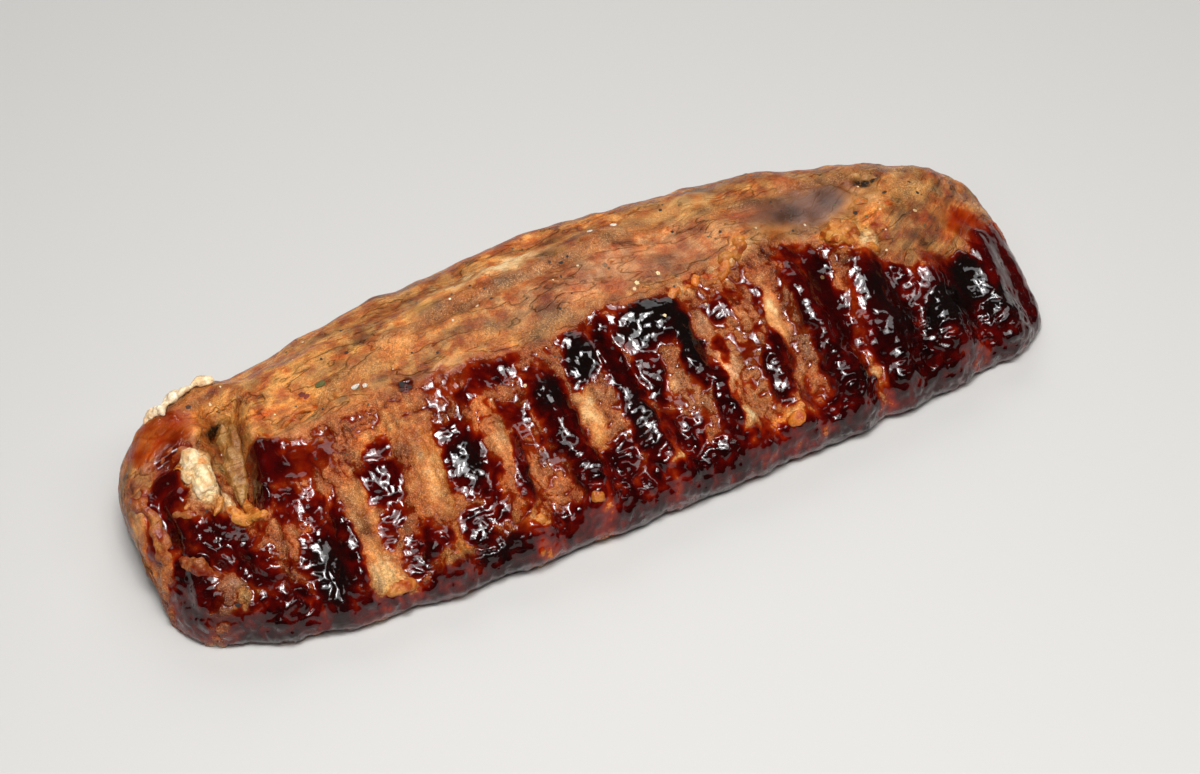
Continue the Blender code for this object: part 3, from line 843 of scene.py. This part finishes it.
def make_rack(meat):
    piece = blank_rack()
    points, normals = read(piece)
    up = ramp(-0.75, -0.35, normals[:, 2])
    uneven = warped(warped(points, 9.0, 2.2, 30), 3.5, 1.1, 33)
    loin = loin_share(points)
    along = fibre_places(points)
    smooth = strongest(uneven, SMOOTH)
    fibrous = loin * (1.0 - strongest(warped(points, 3.0, 1.6, 36), CRUST, 0.6))
    relief = meat_relief(points, along, loin + 0.4 * (fibrous - loin)) * (1.0 - 0.85 * smooth)
    mounds = summed(warped(points, 6.0, 1.0, 40), MOUNDS) * up
    film = -0.3 + 0.35 * noise(points, 14.0, 41) + summed(uneven, FILM)
    film += 2.2 * ramp(-49.0, -57.0, points[:, 1] + 2.0 * noise(points, 8.0, 42))
    film = film * (1.0 - loin) - 1.3 * loin
    level = film + (flooded(uneven, film, SAUCE) - film) * up
    cobbles = 1.2 * np.abs(noise(points, 5.0, 14)) + 0.6 * np.abs(noise(points, 2.8, 15)) - 0.4
    cobbles *= 1.0 + ramp(-30.0, -48.0, points[:, 1])
    level += cobbles * ramp(0.2, 1.2, level) * (1.0 - 0.7 * loin) * (1.0 - smooth)
    bone = bone_share(warped(points, 12.0, 1.6, 60)) * ramp(-0.3, -0.7, normals[:, 2])
    level -= 1.2 * bone
    wet = level - relief
    char_and_shade = strongest(uneven, CHAR_AND_SHADE) * up
    fat = strongest(uneven, FAT, 0.5) * up
    drowned = 1.0 - np.exp(-np.maximum(wet, 0.0) / 0.7)
    surface = relief + drowned * (0.55 * level - 0.2 - relief)
    points_out = points + normals * (surface * 0.9 + mounds)[:, None]
    points_out[:, 2] = np.maximum(points_out[:, 2], 0.0)
    write(piece, points_out)
    paint(piece, "wet", wet)
    paint(piece, "char_and_shade", char_and_shade)
    paint(piece, "loin", fibrous)
    paint(piece, "smooth", smooth)
    paint(piece, "along_fibres", along)
    tone = meat_tone(points, uneven, along, loin, fat)
    under = ramp(-0.3, -0.7, normals[:, 2])
    bone = bone_share(warped(points, 12.0, 1.6, 60))
    below = np.array(srgb("#97674c")[:3]) * (1.0 + 0.35 * noise(points, 9.0, 61))[:, None]
    below = below + bone[:, None] * (np.array(srgb("#e3cda6")[:3]) - below)
    tone = tone + under[:, None] * (below - tone)
    paint(piece, "tone", tone)
    piece.data.materials.append(meat)
    piece.data.shade_smooth()
    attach(piece, "root")
    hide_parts(RACK)
    print("rack triangles", sum(len(face.vertices) - 2 for face in piece.data.polygons))
    return piece


def height_at(rack, x, y):
    """The rack's upper surface over a place, in millimetres."""
    hit, place, _, _ = rack.ray_cast(Vector((x, y, 120.0)) * MM, Vector((0.0, 0.0, -1.0)))
    return place.z / MM if hit else 0.0


def shred_paths(rack, row, chance):
    """The paths of one bundle's shreds, which wander and follow the surface under them."""
    x0, y0, x1, y1, spread, count, length, _, turn, lift = row[:10]
    start, end = np.array([x0, y0]), np.array([x1, y1])
    along = (end - start) / np.linalg.norm(end - start)
    across = np.array([-along[1], along[0]])
    for _ in range(count):
        middle = start + chance.uniform(0.0, 1.0) * (end - start) + chance.normal(0.0, 0.6) * spread * across
        angle = math.radians(chance.normal(0.0, 1.0) * turn)
        way = along * math.cos(angle) + across * math.sin(angle)
        reach = length * chance.uniform(0.6, 1.2) / 2
        bend = chance.normal(0.0, 0.12) * reach
        rise = lift + chance.uniform(-0.3, 0.3)
        path = []
        for t in np.linspace(-1.0, 1.0, 9):
            x, y = middle + way * t * reach + np.array([-way[1], way[0]]) * bend * (1.0 - t * t)
            sink = 1.2 * abs(t) ** 3
            path.append((x, y, height_at(rack, x, y) + rise - sink))
        heights = [place[2] for place in path]
        if min(heights) > 6.0 and max(abs(b - a) for a, b in zip(heights, heights[1:])) < 0.45 * reach:
            yield path


def make_shreds(rack, name, rows, meat, seed):
    """Torn shreds of meat or fat, each a closed strand that tapers into the surface at both ends."""
    chance = np.random.default_rng(seed)
    curve = bpy.data.curves.new(name, "CURVE")
    curve.dimensions = "3D"
    curve.bevel_depth = MM
    curve.bevel_resolution = 1
    curve.use_fill_caps = True
    owners = []
    for index, row in enumerate(rows):
        for path in shred_paths(rack, row, chance):
            strand = curve.splines.new("POLY")
            strand.points.add(len(path) - 1)
            thick = row[7] * chance.uniform(0.65, 1.25)
            for point, place, t in zip(strand.points, path, np.linspace(-1.0, 1.0, len(path))):
                point.co = [c * MM for c in place] + [1.0]
                point.radius = thick * (0.3 + 0.7 * math.sqrt(1.0 - t * t)) * chance.uniform(0.85, 1.15)
            owners.append(index)
    piece = bpy.data.objects.new(name, curve)
    bpy.context.scene.collection.objects.link(piece)
    only(piece)
    bpy.ops.object.convert(target="MESH")
    strands, _ = read(piece)
    per_strand = len(strands) // len(owners)
    shades = np.repeat(chance.uniform(0.82, 1.12, len(owners)), per_strand)
    owners = np.repeat(owners, per_strand)
    # Strands that touch grow together into one ragged lump.
    finish_modifier(piece, "REMESH", mode="VOXEL", voxel_size=0.4 * MM)
    finish_modifier(piece, "SMOOTH", factor=0.5, iterations=4)
    points, normals = read(piece)
    count = len(points)
    search = KDTree(len(strands))
    for index, place in enumerate(strands):
        search.insert(place, index)
    search.balance()
    nearest = [search.find(place)[1] for place in points]
    rough = 0.2 * noise(points, 1.6, 50) + 0.7 * noise(points, 5.0, 51)
    write(piece, points + normals * rough[:, None])
    tones = np.array([srgb(row[11])[:3] for row in rows])[owners[nearest]]
    paint(piece, "tone", tones * shades[nearest][:, None])
    wets = np.array([row[10] for row in rows], float)[owners[nearest]]
    paint(piece, "wet", wets + 0.4 * noise(points, 3.0, 52) - 0.8 * rough)
    paint(piece, "char_and_shade", np.zeros(count))
    paint(piece, "loin", np.full(count, 0.6))
    paint(piece, "smooth", np.full(count, 0.55))
    paint(piece, "along_fibres", points)
    piece.data.materials.append(meat)
    piece.data.shade_smooth()
    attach(piece, "root")
    return piece


def make_spices(rack, grit):
    """Cracked pepper, herb flakes and crumbs, and two white chips that are partly a painted glint: flat chips half
    sunk in the glaze.
    """
    chance = np.random.default_rng(5)
    spread = [
        (chance.uniform(-155, 155), chance.uniform(-18, 46), chance.uniform(0.4, 0.9), chance.choice(SPICE_COLOURS))
        for _ in range(SPICE_COUNT)
    ]
    chips = []
    for x, y, size, colour in FLAKES + spread:
        hit, place, normal, _ = rack.ray_cast(Vector((x, y, 120.0)) * MM, Vector((0.0, 0.0, -1.0)))
        if not hit or normal.z < 0.6:
            continue
        if not chips:
            bpy.ops.mesh.primitive_ico_sphere_add(subdivisions=1, radius=MM)
            first = bpy.context.object
            corners = np.empty(len(first.data.vertices) * 3)
            first.data.vertices.foreach_get("co", corners)
            corners = corners.reshape(-1, 3)
            corners *= 1.0 + 0.45 * noise(corners / MM, 1.1, 70)[:, None]
            first.data.vertices.foreach_set("co", corners.ravel())
            chip = first
        else:
            chip = first.copy()
            chip.data = first.data.copy()
            bpy.context.scene.collection.objects.link(chip)
        chip.location = place - normal * 0.1 * MM
        chip.rotation_euler = normal.to_track_quat("Z", "Y").to_euler()
        chip.scale = (size * chance.uniform(0.6, 1.0), size * chance.uniform(0.5, 0.9), size * 0.4)
        tint = np.array(srgb(colour)[:3]) * chance.uniform(0.8, 1.2)
        if "tone" in chip.data.attributes:
            chip.data.attributes.remove(chip.data.attributes["tone"])
        paint(chip, "tone", np.tile(tint, (len(chip.data.vertices), 1)))
        chips.append(chip)
    bpy.ops.object.select_all(action="DESELECT")
    for chip in chips:
        chip.select_set(True)
    bpy.context.view_layer.objects.active = first
    bpy.ops.object.join()
    bpy.ops.object.transform_apply(location=True, rotation=True, scale=True)
    first.name = "pepper_crumbs_and_glints"
    first.data.materials.append(grit)
    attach(first, "root")
    return first


# ---------------------------------------------------------------- studio

CAMERA_PLACE = (-268.5, -585.2, 705.1)
CAMERA_TURN = (42.885, 1.95, -27.193)
LENS = 78.12

# Each light: place, size and power. They all face the middle of the rack.
SOFTBOXES = [
    ((-100.0, -330.0, 1080.0), (620.0, 480.0), 6.8),
    ((-130.0, -300.0, 1000.0), (260.0, 200.0), 4.9),
    ((-20.0, -560.0, 980.0), (1800.0, 260.0), 5.2),
    ((300.0, 850.0, 850.0), (1000.0, 700.0), 4.0),
]


def make_camera():
    place = [c * MM for c in CAMERA_PLACE]
    turn = [math.radians(a) for a in CAMERA_TURN]
    bpy.ops.object.camera_add(location=place, rotation=turn)
    camera = bpy.context.object
    camera.data.lens = LENS
    camera.data.sensor_width = 36.0
    camera.data.clip_start = 0.01
    bpy.context.scene.camera = camera


def make_studio():
    bpy.ops.mesh.primitive_plane_add(size=6.0)
    floor = bpy.context.object
    floor.name = "floor"
    floor.data.materials.append(painted_floor())
    for place, size, power in SOFTBOXES:
        bpy.ops.object.light_add(type="AREA", location=[c * MM for c in place])
        lamp = bpy.context.object
        lamp.rotation_euler = Vector([-c for c in place]).to_track_quat("-Z", "Y").to_euler()
        lamp.data.shape = "RECTANGLE"
        lamp.data.size, lamp.data.size_y = size[0] * MM, size[1] * MM
        lamp.data.energy = power
    world = bpy.data.worlds.new("studio")
    bpy.context.scene.world = world
    world.use_nodes = True
    world.node_tree.nodes["Background"].inputs["Color"].default_value = srgb("#f2f2f4")
    world.node_tree.nodes["Background"].inputs["Strength"].default_value = 0.04
    bpy.context.scene.view_settings.view_transform = "Standard"


make_camera()
make_studio()
meat = glazed_meat()
rack = make_rack(meat)
bpy.context.view_layer.update()
for seed, (name, rows) in enumerate(SHREDS.items()):
    make_shreds(rack, name, rows, meat, seed)
make_spices(rack, cracked_pepper())
